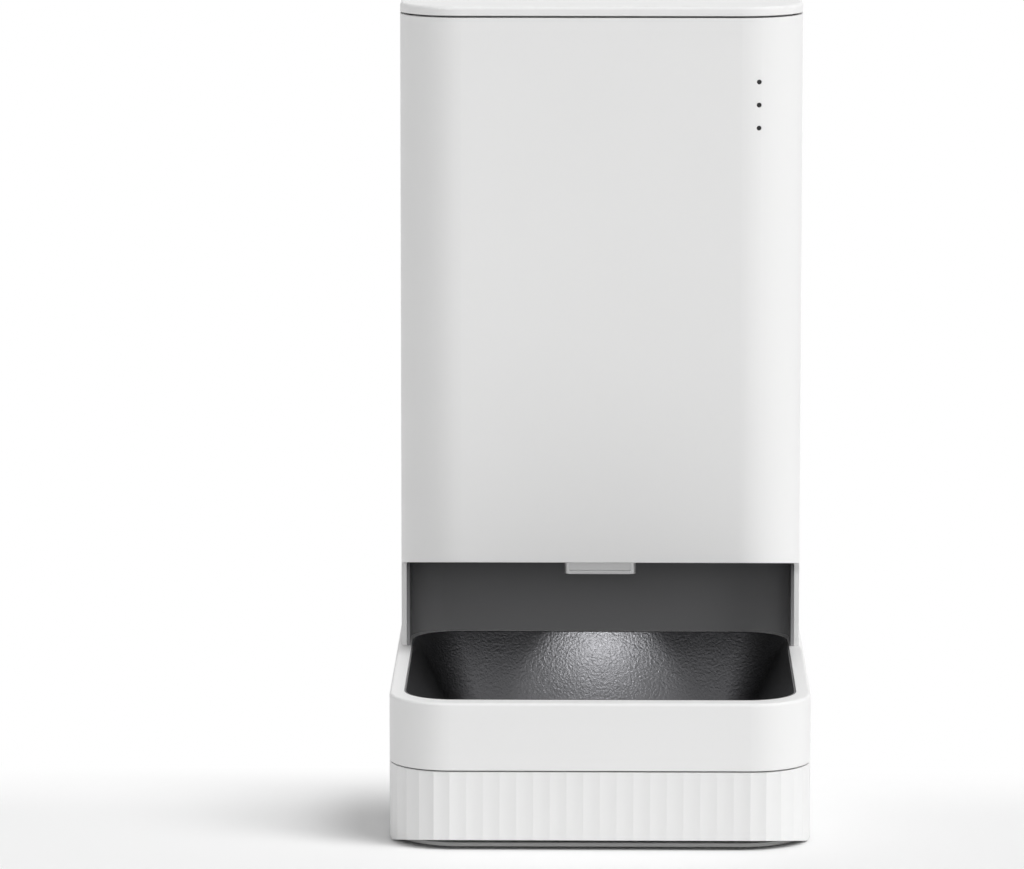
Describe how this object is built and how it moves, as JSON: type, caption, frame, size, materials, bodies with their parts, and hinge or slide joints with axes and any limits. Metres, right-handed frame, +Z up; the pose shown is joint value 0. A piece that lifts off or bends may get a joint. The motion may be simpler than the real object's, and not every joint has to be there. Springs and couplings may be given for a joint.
{
  "type": "microchip pet feeder",
  "caption": "Automatic dry pet food dispenser: tall white tower with lift-off lid and bin, rotor metering, outlet spout and open steel bowl in a fluted base.",
  "frame": {"origin": "middle of the base footprint, on the surface that the feet stand on", "axes": "+Z up, +X to the feeder's left-hand side as seen from behind (right in the front view), the front with the bowl faces -Y"},
  "size_m": [0.172, 0.32, 0.3345],
  "materials": {
    "white_plastic": "fine satin moulding",
    "cover_plastic": "textured underside moulding",
    "liner_plastic": "dark satin moulding",
    "spout_plastic": "light grey satin",
    "bin_plastic": "food bin moulding",
    "rotor_rubber": "soft silicone vanes",
    "bowl_steel": "blasted stainless",
    "plain_steel": "plain turned steel",
    "foot_rubber": "matt rubber",
    "seal_rubber": "soft silicone seal",
    "dark_plastic": "moulded black",
    "lens_plastic": "smoked light pipe",
    "board": "green solder mask",
    "coupler_plastic": "acetal",
    "cell_wrap": "printed sleeve, bare",
    "pack_paper": "breathing paper bag"
  },
  "bodies": {
    "housing": {"base_plinth": "white_plastic", "base_top": "white_plastic", "bottom_cover": "cover_plastic", "rubber_feet": "foot_rubber", "base_screws": "plain_steel", "tower_shell": "white_plastic", "tower_screws": "plain_steel", "recess_liner": "liner_plastic", "outlet_spout": "spout_plastic", "food_sensors": "dark_plastic", "drive_chassis": "bin_plastic", "gearbox_housing": "cover_plastic", "gearbox_screws": "plain_steel", "motor_can": "plain_steel", "led_board": "board", "led_lenses": "lens_plastic", "control_board": "board", "button_switch": "dark_plastic", "power_inlet": "dark_plastic", "battery_box": "cover_plastic", "battery_cells": "cell_wrap", "battery_contacts": "plain_steel"},
    "food_bin": {"hopper_bin": "bin_plastic", "metering_housing": "bin_plastic"},
    "lid": {"lid": "white_plastic", "lid_seal": "seal_rubber", "desiccant_holder": "bin_plastic", "desiccant_pack": "pack_paper"},
    "rotor": {"metering_rotor": "rotor_rubber", "rotor_shaft": "plain_steel", "stirrer": "rotor_rubber"},
    "driver": {"drive_coupler": "coupler_plastic"},
    "bowl": {"steel_bowl": "bowl_steel"},
    "battery_door": {"battery_door": "cover_plastic"},
    "feed_button": {"feed_button": "white_plastic"}
  },
  "joints": [
    {"name": "bin_lift", "type": "slide", "parent": "housing", "child": "food_bin", "axis": [0, 0, 1], "range_m": [0, 0.12]},
    {"name": "lid_lift", "type": "slide", "parent": "food_bin", "child": "lid", "axis": [0, 0, 1], "range_m": [0, 0.08]},
    {"name": "rotor_spin", "type": "hinge", "parent": "food_bin", "child": "rotor", "pos_m": [0, 0.032, 0.16], "axis": [0, 0, 1], "continuous": true},
    {"name": "driver_spin", "type": "hinge", "parent": "housing", "child": "driver", "pos_m": [0, 0.032, 0.144], "axis": [0, 0, 1], "continuous": true},
    {"name": "bowl_lift", "type": "slide", "parent": "housing", "child": "bowl", "axis": [0, 0, 1], "range_m": [0, 0.028]},
    {"name": "battery_door_off", "type": "slide", "parent": "housing", "child": "battery_door", "axis": [0, 0, -1], "range_m": [0, 0.03]},
    {"name": "feed_button_press", "type": "slide", "parent": "housing", "child": "feed_button", "axis": [0, -1, 0], "range_m": [0, 0.0008], "stiffness_N_per_m": 800}
  ],
  "couplings": [
    {"joint": "driver_spin", "follows": "rotor_spin", "ratio": 1}
  ]
}
